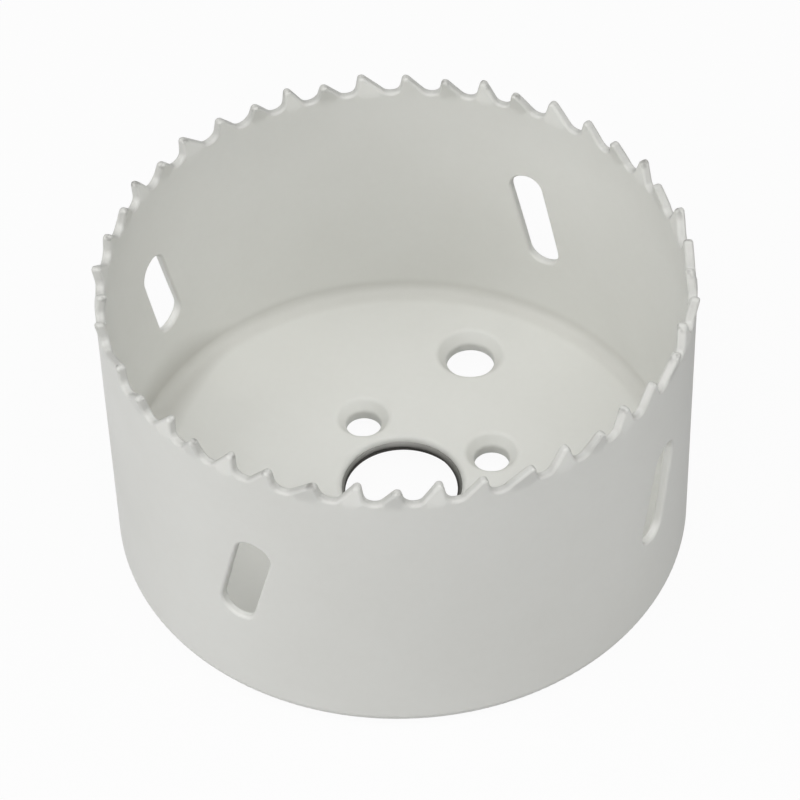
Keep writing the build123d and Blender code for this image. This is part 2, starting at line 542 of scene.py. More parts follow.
def rounded_path(corners, closed=False, spacing=math.inf):
    """Points along straight runs and tangent arcs, each with the unit direction to the right of travel.
    A corner is (x, y, radius), the ends of an open path have no rounding, and runs are divided where
    they are longer than the spacing."""
    count = len(corners)
    here = [Vector(c[:2]) for c in corners]
    path = []

    def add_run(start, end):
        run = end - start
        if run.length < 1e-9:
            return
        right = Vector((run.y, -run.x)).normalized()
        steps = max(1, math.ceil(run.length / spacing))
        for step in range(1, steps):
            path.append((start + run * (step / steps), right))

    def corner_ends(index):
        radius = corners[index][2]
        before = (here[index] - here[index - 1]).normalized()
        after = (here[(index + 1) % count] - here[index]).normalized()
        turn = before.angle_signed(after)  # clockwise is positive
        reach = radius * math.tan(abs(turn) / 2)
        return here[index] - before * reach, here[index] + after * reach, before, turn, radius

    first = None
    last_end = None
    order = range(count) if closed else range(1, count - 1)
    if not closed:
        run = here[1] - here[0]
        path.append((here[0], Vector((run.y, -run.x)).normalized()))
        last_end = here[0]
    for index in order:
        start, end, before, turn, radius = corner_ends(index)
        if last_end is not None:
            add_run(last_end, start)
        if first is None:
            first = start
        right = Vector((before.y, -before.x))
        side = 1 if turn > 0 else -1
        centre = start + right * (radius * side)
        steps = max(2, math.ceil(abs(turn) / ARC_STEP))
        for step in range(steps + 1):
            swing = turn * step / steps
            spoke = Vector((
                right.x * math.cos(swing) + right.y * math.sin(swing),
                -right.x * math.sin(swing) + right.y * math.cos(swing),
            ))
            path.append((centre - spoke * (radius * side), spoke))
        last_end = end
    if closed:
        add_run(last_end, first)
    else:
        add_run(last_end, here[-1])
        run = here[-1] - here[-2]
        path.append((here[-1], Vector((run.y, -run.x)).normalized()))
    return path


def inside_loop(points, loop):
    """Which points lie inside a closed loop, by counting the sides that each one sees to its right."""
    loop = np.asarray(loop, float)
    ahead = np.roll(loop, -1, axis=0)
    rise = np.where(ahead[:, 1] == loop[:, 1], 1.0, ahead[:, 1] - loop[:, 1])
    slant = (ahead[:, 0] - loop[:, 0]) / rise
    inside = np.zeros(len(points), bool)
    for start in range(0, len(points), 1000):
        px, py = (points[start:start + 1000, axis][:, None] for axis in (0, 1))
        spans = (loop[:, 1] > py) != (ahead[:, 1] > py)
        seen = spans & (px < loop[:, 0] + (py - loop[:, 1]) * slant)
        inside[start:start + 1000] = seen.sum(axis=1) % 2 == 1
    return inside


def fill_flat(outer, holes, inner):
    """Triangles, anticlockwise, over the region inside the outer loop and outside the holes.
    Their corners count through the outer loop, then each hole, then the inner points."""
    loops = [outer] + list(holes)
    points = [tuple(p) for loop in loops for p in loop] + [tuple(p) for p in inner]
    sides = []
    start = 0
    for loop in loops:
        sides += [(start + i, start + (i + 1) % len(loop)) for i in range(len(loop))]
        start += len(loop)
    middle = np.mean(np.array(outer), axis=0)
    scaled = [Vector(((x - middle[0]) / MM, (y - middle[1]) / MM)) for x, y in points]
    _, _, faces, origins, _, _ = delaunay_2d_cdt(scaled, sides, [], 0, 1e-7, True)
    corner_of = [min(origin) if origin else -1 for origin in origins]
    triangles = np.array([[corner_of[c] for c in face] for face in faces])
    if (triangles < 0).any():
        raise RuntimeError("the outline crosses itself, so the fill made points of its own")
    flat = np.array(points)
    centres = flat[triangles].mean(axis=1)
    keep = inside_loop(centres, outer)
    for hole in holes:
        keep &= ~inside_loop(centres, hole)
    triangles = triangles[keep]
    a, b, c = (flat[triangles[:, k]] for k in range(3))
    turn = (b[:, 0] - a[:, 0]) * (c[:, 1] - a[:, 1]) - (b[:, 1] - a[:, 1]) * (c[:, 0] - a[:, 0])
    triangles[turn < 0] = triangles[turn < 0][:, ::-1]
    return triangles[np.abs(turn) > 1e-16].tolist()


def lathe(shell, profile, steps, centre=(0.0, 0.0)):
    """Turns a profile of (radius, height, radial normal, height normal) about an upright line. The
    profile runs so that its outside is on the right of travel. Returns the rings of point numbers."""
    rings = []
    for radius, height, out, up in profile:
        ring = []
        for step in range(steps):
            turn = 2 * math.pi * step / steps
            x, y = math.cos(turn), math.sin(turn)
            spot = (centre[0] + radius * x, centre[1] + radius * y, height)
            ring.append(shell.add(spot, (out * x, out * y, up), 0.0))
        rings.append(ring)
    for low, high in zip(rings, rings[1:]):
        for step in range(steps):
            after = (step + 1) % steps
            shell.faces.append((low[step], low[after], high[after], high[step]))
    return rings


def turned_profile(corners):
    """Profile points for lathe from corners (radius, height, rounding), each rounding a tangent arc."""
    return [(point.x, point.y, right.x, right.y) for point, right in rounded_path(corners)]


# The toothed wall

def tooth_places(wall, teeth):
    """Each tooth, clockwise: its tip's place along the strip, the side it leans to and the pitch to
    the next one."""
    middle = wall.inner_radius + wall.thickness / 2
    length = 2 * math.pi * middle
    places, sides = [], []
    group = len(teeth.pitches)
    place, number = 0.0, teeth.first_in_group
    while place <= length - teeth.smallest_join_space:
        places.append(place)
        sides.append(teeth.sides[number % group])
        number += 1
        place += teeth.pitches[number % group]
    ends = places[1:] + [length]
    tip = middle * teeth.first_azimuth
    return [(tip - place, side, end - place) for place, side, end in zip(places, sides, ends)]


def sheet_levels(wall, teeth):
    """Distances up the flat strip from the lip's edge: the bend's start and end, the place whose height
    is that of the back, and the gullets' floor."""
    middle_bend = wall.bend_radius - wall.thickness / 2
    bend_start = wall.lip_width - wall.bend_radius
    bend_end = bend_start + middle_bend * math.pi / 2
    base = bend_end - wall.bend_radius
    floor = base + wall.height - teeth.depth
    return bend_start, bend_end, base, floor


def tooth_edge(wall, teeth, spacing):
    """The toothed edge of the flat strip from join to join, anticlockwise, with the places where one
    tooth's stretch ends and the next begins, and the side of each tooth."""
    _, _, base, floor = sheet_levels(wall, teeth)
    tip = base + wall.height
    rake_run = teeth.depth * math.tan(teeth.rake_lean)
    crest_drop = teeth.crest_length * math.tan(teeth.crest_relief)
    places = tooth_places(wall, teeth)[::-1]  # anticlockwise, so the space at the join comes first
    corners, middles = [], []
    for number, (tip_place, side, pitch) in enumerate(places):
        start = tip_place - pitch
        foot = start + rake_run
        if number == 0:
            corners.append((foot + teeth.gullet_floor / 2, floor, 0.0))
        else:
            corners.append((foot, floor, teeth.gullet_radius))
            middles.append(foot + teeth.gullet_floor / 2)
        corners.append((foot + teeth.gullet_floor, floor, teeth.gullet_radius))
        corners.append((tip_place - teeth.crest_length, tip - crest_drop, teeth.crest_back_radius))
        corners.append((tip_place, tip, teeth.tip_radius))
    foot = places[-1][0] + rake_run
    corners.append((foot, floor, teeth.gullet_radius))
    corners.append((foot + teeth.gullet_floor / 2, floor, 0.0))
    path = rounded_path(corners, spacing=spacing)
    sides = [side for _, side, _ in places]
    return path, middles, sides


def slot_edge(wall, slots, number, join, base, spacing):
    """One slot's edge on the flat strip, anticlockwise, so that the metal is on the right of travel."""
    middle = wall.inner_radius + wall.thickness / 2
    length = 2 * math.pi * middle
    place = length * number / slots.count
    place += length * math.ceil((join - place) / length)
    half_width, half_length = slots.width / 2, slots.length / 2
    lean = Matrix.Rotation(-slots.lean, 2)
    corners = []
    for across, up in ((-1, -1), (1, -1), (1, 1), (-1, 1)):
        spot = lean @ Vector((across * half_width, up * half_length))
        corners.append((place + spot.x, slots.height + spot.y + base, slots.corner_radius))
    return rounded_path(corners, True, spacing)


def flat_strip(wall, teeth, slots):
    """The wall's strip before it is rolled: x runs anticlockwise, y up from the lip's edge and z outwards.
    Its edge value says how bare a point is, and so how much painted shade it gets, and its side value which
    way its tooth leans."""
    bend_start, bend_end, base, floor = sheet_levels(wall, teeth)
    half, soft = wall.thickness / 2, wall.edge_radius
    spacing = EDGE_SPACING * 2 * math.pi * wall.inner_radius / wall.columns
    top, middles, sides = tooth_edge(wall, teeth, spacing)
    join, far = top[0][0].x, top[-1][0].x
    lip = [(Vector((far + (join - far) * column / wall.columns, 0)), Vector((0, 1)))
           for column in range(wall.columns + 1)]
    paths = [top, lip]
    paths += [slot_edge(wall, slots, number, join, base, spacing) for number in range(slots.count)]

    set_line = floor + teeth.set_rise

    def side_at(x, y):
        return float(sides[int(np.searchsorted(middles, x))]) if y > set_line - 1e-9 else 0.0

    shell = Shell()
    swings = [math.radians(degrees) for degrees in EDGE_SWINGS]
    rims = []
    for path in paths:
        rows = []
        bareness = TOOTH_BARENESS if path is top else QUIET_BARENESS
        for face in (1, -1):
            for swing in swings if face == 1 else swings[::-1]:
                row = []
                for point, right in path:
                    spot = point + right * (soft * (1 - math.sin(swing)))
                    depth = face * (half - soft * (1 - math.cos(swing)))
                    outwards = -right * math.sin(swing)
                    normal = (outwards.x, outwards.y, face * math.cos(swing))
                    bare, side = bareness * math.sin(swing), side_at(point.x, spot.y)
                    row.append(shell.add((spot.x, spot.y, depth), normal, bare, side))
                rows.append(row)
        closed = path is not top and path is not lip
        ends = len(path) if closed else len(path) - 1
        for high, low in zip(rows, rows[1:]):
            for i in range(ends):
                j = (i + 1) % len(path)
                shell.faces.append((high[i], high[j], low[j], low[i]))
        rims.append(rows)

    # Rows of inner points: close together round the bend and at the set line, wide apart on the wall
    inner_rows = [bend_start * share for share in LIP_ROWS]
    inner_rows += list(np.linspace(bend_start, bend_end, BEND_STEPS + 1))
    inner_rows += list(np.linspace(bend_end, floor - GULLET_SPACE, WALL_ROWS + 1)[1:])
    seam_rows = [y for y in inner_rows if soft + SEAM_SPACE < y < floor - soft - SEAM_SPACE]
    loops = [[(point + right * soft)[:] for point, right in path] for path in paths]
    join_side, far_side = ([(x, y) for y in seam_rows] for x in (join, far))
    outer = loops[0][::-1] + join_side[::-1] + loops[1][::-1] + far_side
    boundary = np.array(outer + [spot for loop in loops[2:] for spot in loop])
    inner = []
    for number, y in enumerate(inner_rows):
        shares = (np.arange(wall.columns) + 0.5 * (number % 2)) / wall.columns
        inner += [(join + (far - join) * share, y) for share in shares]
    shares = np.arange(SET_LINE_POINTS * wall.columns) / (SET_LINE_POINTS * wall.columns)
    inner += [(join + (far - join) * share, set_line) for share in shares]
    inner = np.array(inner)
    gap = np.empty(len(inner))
    for start in range(0, len(inner), 500):
        block = inner[start:start + 500]
        gap[start:start + 500] = np.hypot(
            block[:, 0][:, None] - boundary[:, 0], block[:, 1][:, None] - boundary[:, 1]).min(axis=1)
    near = np.where(np.abs(inner[:, 1] - set_line) < 1e-9, SET_LINE_SPACE, ROW_SPACE)
    inner = inner[gap > near]
    inner = inner[inside_loop(inner, outer)]
    for loop in loops[2:]:
        inner = inner[~inside_loop(inner, loop)]
    triangles = fill_flat(outer, loops[2:], inner)
    for face in (1, -1):
        rows = [rim[0] if face == 1 else rim[-1] for rim in rims]
        normal = (0.0, 0.0, float(face))
        seam = [[shell.add((x, y, face * half), normal, 0.0, 0.0) for y in seam_rows] for x in (join, far)]
        numbers = rows[0][::-1] + seam[0][::-1] + rows[1][::-1] + seam[1]
        for row in rows[2:]:
            numbers += row
        numbers += [shell.add((x, y, face * half), normal, 0.0, side_at(x, y)) for x, y in inner]
        for a, b, c in triangles:
            corner = (numbers[a], numbers[b], numbers[c])
            shell.faces.append(corner if face == 1 else corner[::-1])
    return shell


def rolling_tree():
    """The tree that leans the teeth, turns the lip in and rolls the flat strip up, normals and all."""
    nodes, entry, end = geometry_tree("Roll And Set", (
        "Middle Radius", "Bend Radius", "Bend Start", "Bend End", "Half Thickness", "Set Line",
        "Set Slope"))
    size = entry.outputs
    along, up, out = nodes.split(nodes.add("GeometryNodeInputPosition").outputs[0])
    side, carried = (
        nodes.add("GeometryNodeInputNamedAttribute", {"Name": name}, data_type=kind).outputs["Attribute"]
        for name, kind in (("side", "FLOAT"), ("smooth_normal", "FLOAT_VECTOR")))
    normal_along, normal_up, normal_out = nodes.split(carried)
    into_bend = nodes.minus(up, size["Bend Start"])
    bend = nodes.over(into_bend, size["Bend Radius"])
    bend = nodes.within(bend, 0.0, math.pi / 2)
    bend_sine, bend_cosine = nodes.math("SINE", bend), nodes.math("COSINE", bend)
    lip_run = nodes.math("MINIMUM", into_bend, 0.0)
    wall_run = nodes.math("MAXIMUM", nodes.minus(up, size["Bend End"]), 0.0)
    arm = nodes.plus(size["Bend Radius"], out)
    centre_radius = nodes.minus(size["Middle Radius"], size["Bend Radius"])
    centre_height = nodes.plus(size["Bend Radius"], size["Half Thickness"])
    height = nodes.minus(centre_height, nodes.times(arm, bend_cosine))
    height = nodes.plus(height, wall_run)
    slope = nodes.times(side, size["Set Slope"])
    above = nodes.minus(height, size["Set Line"])
    lean = nodes.times(slope, nodes.math("MAXIMUM", above, 0.0))
    radius = nodes.plus(centre_radius, lip_run)
    radius = nodes.plus(radius, nodes.times(arm, bend_sine))
    radius = nodes.plus(radius, lean)
    turn = nodes.over(along, size["Middle Radius"])
    turn_sine, turn_cosine = nodes.math("SINE", turn), nodes.math("COSINE", turn)
    place = nodes.join(nodes.times(radius, turn_cosine), nodes.times(radius, turn_sine), height)
    facing = nodes.plus(nodes.times(normal_up, bend_cosine), nodes.times(normal_out, bend_sine))
    rising = nodes.minus(nodes.times(normal_up, bend_sine), nodes.times(normal_out, bend_cosine))
    rising = nodes.minus(rising, nodes.times(slope, facing))
    normal = nodes.join(
        nodes.minus(nodes.times(facing, turn_cosine), nodes.times(normal_along, turn_sine)),
        nodes.plus(nodes.times(facing, turn_sine), nodes.times(normal_along, turn_cosine)),
        rising)
    turned = nodes.add("GeometryNodeStoreNamedAttribute", {
        "Geometry": entry.outputs["Geometry"], "Name": "smooth_normal", "Value": normal,
    }, data_type="FLOAT_VECTOR", domain="POINT")
    rolled = nodes.add("GeometryNodeSetPosition", {
        "Geometry": turned.outputs["Geometry"], "Position": place})
    finish_tree(nodes, entry, end, rolled.outputs[0], weld=0.002 * MM)
    return nodes


class HOLESAW_OT_wall(bpy.types.Operator):
    """Makes the toothed wall: cuts the teeth and slots in a flat strip, sets the teeth and rolls it up"""

    bl_idname = "holesaw.wall"
    bl_label = "Toothed Wall"

    def execute(self, context):
        scene = context.scene
        wall, teeth, slots = scene.holesaw_wall, scene.holesaw_teeth, scene.holesaw_slots
        bend_start, bend_end, _, _ = sheet_levels(wall, teeth)
        piece = flat_strip(wall, teeth, slots).piece("toothed_strip", ("edge", "side"))
        set_line = wall.height - teeth.depth + teeth.set_rise
        run_tree(piece, rolling_tree(), {
            "Middle Radius": wall.inner_radius + wall.thickness / 2,
            "Bend Radius": wall.bend_radius - wall.thickness / 2,
            "Bend Start": bend_start,
            "Bend End": bend_end,
            "Half Thickness": wall.thickness / 2,
            "Set Line": set_line,
            "Set Slope": teeth.set_out / (wall.height - set_line),
            "Material": paint_material(scene.holesaw_paint),
        })
        settle_normals(piece)
        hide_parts("toothed_wall")
        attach(piece, "root")
        return {"FINISHED"}


# The back plate

def plate_levels(plate):
    """Heights of the plate's top and underside."""
    top = PLATE_HIGH.z - plate.bead_height
    return top, top - plate.thickness


def underside_corners(radius, chamfer, under, rounding, flat):
    """The last corners of a hole's outline: its chamfer on the underside, and a flat ring round that."""
    return [
        (radius, under + chamfer, rounding),
        (radius + chamfer, under, CHAMFER_ROUNDING),
        (radius + chamfer + flat, under, 0.0),
    ]


def dimple_profile(plate, radius, mouth):
    """The outline of a dimpled hole, from the plate's top down to its underside."""
    top, under = plate_levels(plate)
    drop = (mouth - radius) / math.tan(plate.dimple_angle / 2)
    reach = plate.mouth_rounding * math.tan((math.pi / 2 - plate.dimple_angle / 2) / 2)
    return turned_profile([
        (mouth + reach, top, 0.0),
        (mouth, top, plate.mouth_rounding),
        (radius, top - drop, plate.throat_rounding),
        *underside_corners(radius, plate.hole_chamfer, under, rounding=0.3 * MM, flat=0.12 * MM),
    ])


def bore_profile(plate):
    """The outline of the bore that the thread stands in, from the plate's top down to its underside."""
    top, under = plate_levels(plate)
    bore = plate.thread_radius
    return turned_profile([
        (bore + plate.bore_rounding + 0.05 * MM, top, 0.0),
        (bore, top, plate.bore_rounding),
        *underside_corners(bore, plate.bore_chamfer, under, rounding=0.1 * MM, flat=0.15 * MM),
    ])


def bead_profile(plate, rim):
    """The hollow outline of the weld bead, from the wall down to its toe on the plate."""
    top, _ = plate_levels(plate)
    width, height = plate.bead_width, plate.bead_height
    profile = []
    for step in range(BEAD_STEPS + 1):
        swing = math.pi / 2 * (1 - step / BEAD_STEPS)
        normal = Vector((-height * math.sin(swing), width * math.cos(swing))).normalized()
        profile.append((rim - width * (1 - math.sin(swing)), top + height * (1 - math.cos(swing)), *normal))
    profile.append((rim - width - plate.bead_toe, top, 0.0, 1.0))
    return profile


def rim_profile(plate, rim):
    """The outline of the plate's edge, from its underside up to the bead, with a sharp chamfer."""
    _, under = plate_levels(plate)
    chamfer, slant = plate.edge_chamfer, math.sqrt(0.5)
    return [
        (rim - chamfer, under, 0.0, -1.0),
        (rim - chamfer, under, slant, -slant),
        (rim, under + chamfer, slant, -slant),
        (rim, under + chamfer, 1.0, 0.0),
        (rim, PLATE_HIGH.z, 1.0, 0.0),
    ]


class HOLESAW_OT_plate(bpy.types.Operator):
    """Makes the back plate with its dimpled holes, and the weld bead that joins it to the wall"""

    bl_idname = "holesaw.plate"
    bl_label = "Back Plate"

    def execute(self, context):
        plate, rim = context.scene.holesaw_plate, context.scene.holesaw_wall.inner_radius
        shell = Shell()
        toe_ring = lathe(shell, bead_profile(plate, rim), PLATE_STEPS)[-1]
        under_ring = lathe(shell, rim_profile(plate, rim), PLATE_STEPS)[0]
        bore_rings = lathe(shell, bore_profile(plate), BORE_STEPS)
        top_loops, under_loops = [bore_rings[0]], [bore_rings[-1]]
        for count, circle, radius, mouth, azimuth in (
            (plate.pin_count, plate.pin_circle, plate.pin_radius, plate.pin_mouth, plate.pin_azimuth),
            (plate.knockout_count, plate.knockout_circle, plate.knockout_radius, plate.knockout_mouth,
             plate.knockout_azimuth),
        ):
            for number in range(count):
                turn = azimuth + 2 * math.pi * number / count
                centre = (circle * math.cos(turn), circle * math.sin(turn))
                rings = lathe(shell, dimple_profile(plate, radius, mouth), HOLE_STEPS, centre)
                top_loops.append(rings[0])
                under_loops.append(rings[-1])
        for outer_ring, loops, faces_up in ((toe_ring, top_loops, True), (under_ring, under_loops, False)):
            flat = [[shell.points[number][:2] for number in ring] for ring in [outer_ring] + loops]
            numbers = [number for ring in [outer_ring] + loops for number in ring]
            for triangle in fill_flat(flat[0], flat[1:], []):
                corners = tuple(numbers[corner] for corner in triangle)
                shell.faces.append(corners if faces_up else corners[::-1])
        piece = shell.joined_piece("back_disc", ("edge",))
        piece.data.materials.append(paint_material(context.scene.holesaw_paint))
        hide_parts("back_plate")
        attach(piece, "root")
        return {"FINISHED"}


# The arbor thread

def thread_tree():
    """The tree that turns a flat grid into a ring with a helical thread inside and a chamfer at each end.
    On the grid x is the share of a turn, y the distance along the thread's rows, and z is 1 on the ring's
    outside."""
    nodes, entry, end = geometry_tree("Inside Thread", (
        "Root Radius", "Crest Radius", "Pitch", "Land", "Entry", "Bottom", "Length"))
    size = entry.outputs
    across, along, outside = nodes.split(nodes.add("GeometryNodeInputPosition").outputs[0])
    turn = nodes.times(across, 2 * math.pi)
    behind = nodes.times(nodes.minus(across, 1.0), size["Pitch"])
    height = nodes.plus(along, behind)
    height = nodes.within(height, 0.0, size["Length"])
    phase = nodes.math("FRACT", nodes.minus(nodes.over(height, size["Pitch"]), across))
    wave = nodes.math("ABSOLUTE", nodes.minus(nodes.times(phase, 2.0), 1.0))
    wave = nodes.minus(wave, size["Land"])
    wave = nodes.over(wave, nodes.minus(1.0, nodes.times(size["Land"], 2.0)))
    wave = nodes.within(wave, 0.0, 1.0)
    depth = nodes.minus(size["Root Radius"], size["Crest Radius"])
    cut = nodes.plus(size["Crest Radius"], nodes.times(wave, depth))
    from_top = nodes.minus(size["Length"], height)
    from_end = nodes.math("MINIMUM", height, from_top)
    share = nodes.minus(1.0, nodes.over(from_end, size["Entry"]))
    entry_radius = nodes.plus(size["Crest Radius"], nodes.times(share, depth))
    inner = nodes.math("SMOOTH_MAX", cut, entry_radius, THREAD_BLEND)
    inner = nodes.math("MINIMUM", inner, size["Root Radius"])
    radius = nodes.plus(nodes.times(outside, size["Root Radius"]),
        nodes.times(nodes.minus(1.0, outside), inner))
    place = nodes.join(
        nodes.times(radius, nodes.math("COSINE", turn)),
        nodes.times(radius, nodes.math("SINE", turn)),
        nodes.plus(height, size["Bottom"]))
    ring = nodes.add("GeometryNodeSetPosition", {"Geometry": entry.outputs["Geometry"], "Position": place})
    finish_tree(nodes, entry, end, ring.outputs[0], weld=0.001 * MM)
    return nodes


class HOLESAW_OT_thread(bpy.types.Operator):
    """Makes the arbor thread that lines the hole in the middle of the back plate"""

    bl_idname = "holesaw.thread"
    bl_label = "Arbor Thread"

    def execute(self, context):
        plate, thread = context.scene.holesaw_plate, context.scene.holesaw_thread
        top, under = plate_levels(plate)
        bottom = under + plate.bore_chamfer
        length = top - 0.9 * plate.bore_rounding - bottom  # it ends just inside the bore's rounded mouth
        count = math.ceil((length + thread.pitch) / thread.pitch * THREAD_ROWS)
        far = count / THREAD_ROWS * thread.pitch
        rows = [(0.0, 1.0)] + [(far * row / count, 0.0) for row in range(count + 1)] + [(far, 1.0)]
        columns = BORE_STEPS + 1
        points = [(i / BORE_STEPS, along, outside) for along, outside in rows for i in range(columns)]
        faces = []
        for row in range(len(rows)):
            low, high = row * columns, (row + 1) % len(rows) * columns
            faces += [(low + i, high + i, high + i + 1, low + i + 1) for i in range(BORE_STEPS)]
        piece = mesh_piece("arbor_thread", points, faces)
        run_tree(piece, thread_tree(), {
            "Root Radius": plate.thread_radius - THREAD_CLEARANCE,
            "Crest Radius": thread.crest_radius,
            "Pitch": thread.pitch,
            "Land": thread.land,
            "Entry": thread.entry,
            "Bottom": bottom,
            "Length": length,
            "Material": thread_material(context.scene.holesaw_paint),
        })
        piece.data.shade_smooth()
        piece.data.set_sharp_from_angle(angle=math.radians(40))
        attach(piece, "root")
        return {"FINISHED"}


# Materials

def new_material(name):
    material = bpy.data.materials.new(name)
    material.use_nodes = True
    nodes = Nodes(material.node_tree)
    return material, nodes, material.node_tree.nodes["Principled BSDF"]


def corner_painted_shade(nodes, paint, place, drift):
    """How much painted shade darkens the paint near the corner over the weld bead, most of all on its heavy
    side.
    """
    across, along, height = nodes.split(place)
    wall_gap = nodes.minus(WALL_INNER_RADIUS, nodes.length(across, along))
    distance = nodes.length(wall_gap, nodes.minus(height, FLOOR_HEIGHT))
    heavy_side = nodes.add("ShaderNodeVectorMath", {
        0: place, 1: (math.cos(paint.shade_azimuth), math.sin(paint.shade_azimuth), 0)},
        operation="DOT_PRODUCT").outputs["Value"]
    heavier = nodes.remap(heavy_side, *SHADE_HEAVY_SIDE, curve="SMOOTHSTEP")
    spread = nodes.plus(paint.shade_reach, nodes.times(heavier, paint.shade_extra))
    strongest = nodes.plus(paint.shade_strength, nodes.times(heavier, 1 - paint.shade_strength))
    shade = nodes.remap(distance, paint.shade_core, spread, strongest, 0.0, "SMOOTHSTEP")
    shade = nodes.times(shade, nodes.math("GREATER_THAN", wall_gap, -0.1 * MM))  # inside only
    return nodes.times(shade, nodes.remap(drift, 0.3, 0.7, 1.0, 0.6))


def paint_material(paint):
    """Satin paint with broad drifts of tone and a fine orange peel. It is thin on the cut edges and darkened
    there as painted shade, darkened as painted shade in the corner over the weld bead, and chipped at the
    tips. The wall and the plate share it."""
    if "satin_paint" in bpy.data.materials:
        return bpy.data.materials["satin_paint"]
    material, nodes, surface = new_material("satin_paint")
    place = nodes.add("ShaderNodeTexCoord").outputs["Object"]
    drift = nodes.noise(place, scale=38.0, detail=3.0, roughness=0.55)  # broad, across some 26 mm
    speck = nodes.noise(place, scale=900.0, detail=2.0)
    tone = nodes.plus(nodes.times(drift, 1.6), nodes.times(speck, 0.35))
    colour = nodes.blend(nodes.minus(tone, 0.55), paint.colour, paint.dusty_colour)
    edge = nodes.add("ShaderNodeAttribute", attribute_name="edge").outputs["Fac"]
    patches = nodes.remap(nodes.noise(place, scale=420.0, detail=3.0), 0.3, 0.7, 0.75, 1.0)
    # Thin paint on the cut edges, in patches, darkened as painted shade over their rounding
    thin = nodes.times(edge, patches)
    colour = nodes.blend(thin, colour, paint.thin_paint_shade_colour)
    # Painted shade: the paint darkens towards the inner corner over the weld bead, most of all on its heavy
    # side
    colour = nodes.blend(corner_painted_shade(nodes, paint, place, drift), colour, paint.corner_shade_colour)
    at_tip = nodes.remap(nodes.split(place)[2], paint.worn_height, paint.worn_height + 0.8 * MM)
    chips = nodes.remap(nodes.noise(place, scale=700.0, detail=2.0), 0.56, 0.66)
    worn = nodes.times(nodes.times(at_tip, chips), nodes.times(edge, 0.75))
    colour = nodes.blend(worn, colour, paint.tip_colour)
    nodes.put(surface.inputs["Base Color"], colour)
    rough = nodes.remap(drift, 0.0, 1.0, paint.roughness - 0.07, paint.roughness + 0.09)
    rough = nodes.minus(rough, nodes.times(thin, 0.08))
    nodes.put(surface.inputs["Roughness"], rough)
    peel = nodes.noise(place, scale=1 / paint.peel_size, detail=2.0, roughness=0.45)
    grit = nodes.noise(place, scale=4200.0, detail=1.0)
    relief = nodes.plus(peel, nodes.times(grit, 0.25))
    bump = nodes.add("ShaderNodeBump", {"Height": relief, "Strength": 0.35, "Distance": 0.03 * MM})
    nodes.put(surface.inputs["Normal"], bump.outputs[0])
    return material


def thread_material(paint):
    """Near-black bare steel in the thread, as dark as painted shade in the bore, with fine marks of the tap
    running round it. On its upper end, paint fades downwards into the dark steel: the last of the paint's
    spray, and painted shade deeper in the bore."""
    material, nodes, surface = new_material("thread_steel_and_shade")
    place = nodes.add("ShaderNodeTexCoord").outputs["Object"]
    ringed = nodes.add("ShaderNodeMapping", {"Vector": place, "Scale": (60.0, 60.0, 2600.0)}).outputs[0]
    marks = nodes.noise(ringed, scale=1.0, detail=3.0)
    stain = nodes.noise(place, scale=260.0, detail=4.0)
    colour = nodes.blend(stain, paint.bare_steel_shade_colour, [c * 1.7 for c in paint.bare_steel_shade_colour])
    # Painted shade down the bore: paint tone at the top, fading to the near-black steel further down
    paint_above_shade = nodes.remap(nodes.split(place)[2], FLOOR_HEIGHT - paint.overspray_shade_depth, FLOOR_HEIGHT)
    colour = nodes.blend(paint_above_shade, colour, paint.dusty_colour)
    nodes.put(surface.inputs["Base Color"], colour)
    bare = nodes.minus(1.0, paint_above_shade)
    nodes.put(surface.inputs["Metallic"], nodes.times(bare, 0.8))
    nodes.put(surface.inputs["Roughness"], nodes.remap(marks, 0.0, 1.0, 0.3, 0.55))
    bump = nodes.add("ShaderNodeBump", {"Height": marks, "Strength": 0.3, "Distance": 0.02 * MM})
    nodes.put(surface.inputs["Normal"], bump.outputs[0])
    return material


def floor_material(right):
    """A pale floor that looks white to the camera and keeps the saw's soft shadow. The paint mirrors it as
    white on the left and greyer towards the right, which is the given direction."""
    material, nodes, surface = new_material("pale_floor")
    place = nodes.add("ShaderNodeTexCoord").outputs["Object"]
    surface.inputs["Roughness"].default_value = 0.9
    tone = nodes.blend(nodes.noise(place, scale=3.0, detail=2.0), (0.50, 0.50, 0.50), (0.54, 0.54, 0.54))
    nodes.put(surface.inputs["Base Color"], tone)
    ray = nodes.add("ShaderNodeLightPath").outputs
    across = nodes.add("ShaderNodeVectorMath", {0: place, 1: right}, operation="DOT_PRODUCT").outputs["Value"]
    mirrored = nodes.remap(across, -30 * MM, 120 * MM, 1.0, 0.1)
    camera = ray["Is Camera Ray"]
    indirect = nodes.times(nodes.minus(1.0, camera), mirrored)
    glow = nodes.add("ShaderNodeEmission", {
        "Color": (1, 1, 1, 1), "Strength": nodes.plus(camera, indirect)})
    seen = nodes.plus(nodes.plus(camera, ray["Is Glossy Ray"]), ray["Is Transmission Ray"])
    seen = nodes.times(nodes.math("MINIMUM", seen, 1.0), 0.95)
    mixed = nodes.add("ShaderNodeMixShader", {0: seen, 1: surface.outputs[0], 2: glow.outputs[0]})
    nodes.put(material.node_tree.nodes["Material Output"].inputs["Surface"], mixed.outputs[0])
    return material


# The stage

def add_lamp(name, stage, turn, rise, power):
    """A square soft lamp aimed at the saw, placed by its turn from the camera, anticlockwise as seen from
    above, so that a positive one is on the right, and its rise over the floor."""
    lamp = bpy.data.lights.new(name, "AREA")
    lamp.size = stage.lamp_size
    lamp.energy = power
    azimuth = stage.azimuth + turn
    spoke = Vector((
        math.sin(azimuth) * math.cos(rise), -math.cos(azimuth) * math.cos(rise), math.sin(rise)))
    aim = Vector((0, 0, 20 * MM))
    holder = bpy.data.objects.new(name, lamp)
    holder.location = aim + spoke * stage.lamp_distance
    holder.rotation_euler = spoke.to_track_quat("Z", "Y").to_euler()
    bpy.context.scene.collection.objects.link(holder)


